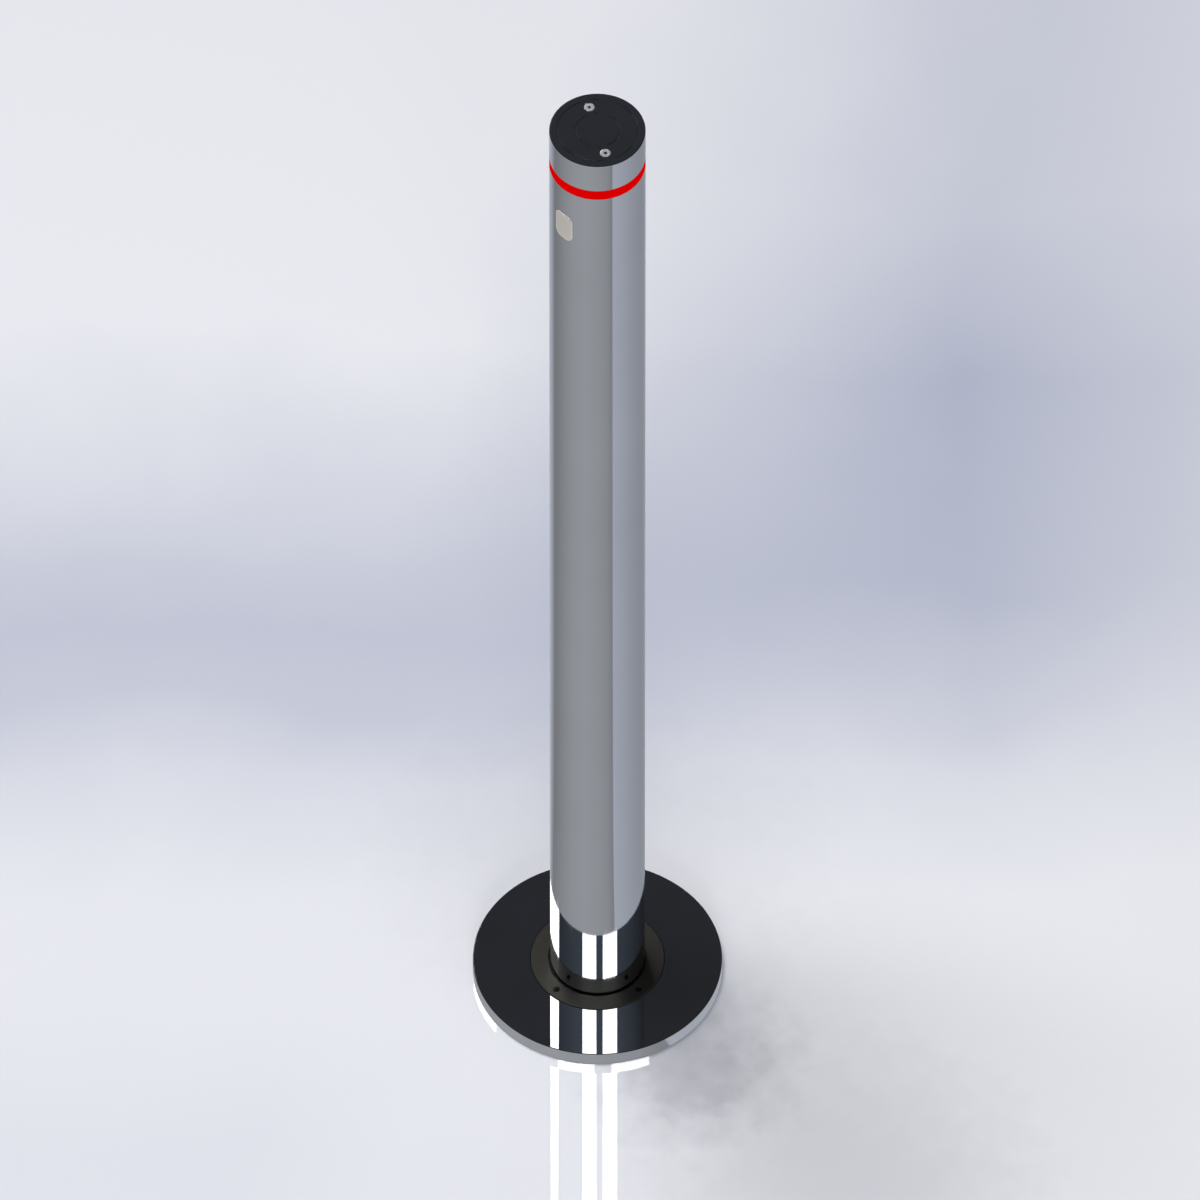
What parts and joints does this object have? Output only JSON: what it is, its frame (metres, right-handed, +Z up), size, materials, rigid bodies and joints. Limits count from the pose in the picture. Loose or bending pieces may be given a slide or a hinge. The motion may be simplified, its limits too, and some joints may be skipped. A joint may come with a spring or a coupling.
{
  "type": "automatic bollard",
  "caption": "Slim steel bollard that slides up out of a casing in the ground, with a round base disc, a reader window and a red light ring near its top.",
  "frame": {"origin": "centre of the base disc's underside, at paving level, on the post's axis; the post is raised", "axes": "+Z up along the post, -Y out of the reader window, +Y out of the cable gland"},
  "size_m": [0.2, 0.2, 2.567],
  "materials": {
    "polished_steel": "polished, with a fine lengthwise grain",
    "black_gloss": "gloss black on top, bare steel at the rim",
    "dark_collar": "satin, dark olive black",
    "black_screws": "black",
    "bright_screws": "plain bright steel",
    "red_lens": "clear red, lit from behind",
    "reader_pane": "smooth beige grey",
    "black_plastic": "fine grain",
    "circuit_board": "green lacquer",
    "turned_aluminium": "turned",
    "zinc_steel": "hot-dip zinc, dull and spangled",
    "nickel_brass": "nickel plated",
    "bronze": "machined bronze",
    "slide_plastic": "smooth, off-white",
    "black_rubber": "matt",
    "red_rubber": "matt",
    "motor_paint": "satin black",
    "ground_steel": "hard and ground"
  },
  "bodies": {
    "casing": {"base_disc": "black_gloss", "collar_ring": "dark_collar", "collar_screws": "black_screws", "disc_screws": "bright_screws", "wiper_seal": "black_rubber", "casing_head": "zinc_steel", "head_screws": "bright_screws", "guide_bush": "slide_plastic", "casing_tube": "zinc_steel", "casing_base": "zinc_steel", "anchor_lugs": "zinc_steel", "cable_boss": "zinc_steel", "cable_gland": "nickel_brass", "gland_insert": "black_rubber", "gland_nut": "nickel_brass", "guide_rods": "ground_steel", "rod_nuts": "bright_screws", "stop_collars": "turned_aluminium", "upper_buffers": "black_rubber", "lower_buffers": "black_rubber", "upper_limit_sensor": "nickel_brass", "sensor_clamp": "turned_aluminium", "lower_limit_sensor": "nickel_brass", "drive_plate": "zinc_steel", "bearing_outer_ring": "ground_steel", "bearing_balls": "ground_steel", "bearing_cap": "turned_aluminium", "bearing_cap_screws": "bright_screws", "drive_lantern": "turned_aluminium", "drive_screws": "bright_screws", "gearbox": "turned_aluminium", "drive_motor": "motor_paint", "motor_brake": "motor_paint"},
    "screw": {"lifting_screw": "ground_steel", "bearing_inner_ring": "ground_steel", "screw_locknut": "bright_screws", "screw_steady": "slide_plastic", "steady_clip": "bright_screws", "screw_coupling_hub": "turned_aluminium", "coupling_spider": "red_rubber", "motor_coupling_hub": "turned_aluminium", "gearbox_shaft": "ground_steel"},
    "post": {"post_tube": "polished_steel", "reader_window": "reader_pane", "reader_housing": "black_plastic", "reader_board": "circuit_board", "reader_bracket": "zinc_steel", "reader_screws": "bright_screws", "head_core": "turned_aluminium", "light_strip": "circuit_board", "light_ring": "red_lens", "head_sleeve": "polished_steel", "top_cap": "black_gloss", "cap_screws": "bright_screws", "cap_seal": "black_rubber", "carriage": "turned_aluminium", "carriage_screws": "bright_screws", "rod_bushes": "slide_plastic", "lifting_nut": "bronze", "nut_screws": "bright_screws"}
  },
  "joints": [
    {"name": "post_lift", "type": "slide", "parent": "casing", "child": "post", "axis": [0, 0, 1], "range_m": [-1.024, 0]},
    {"name": "screw_turn", "type": "hinge", "parent": "casing", "child": "screw", "pos_m": [0, 0, -1.224], "axis": [0, 0, 1], "continuous": true}
  ],
  "couplings": [
    {"joint": "screw_turn", "follows": "post_lift", "rad_per_m": -314.16}
  ]
}
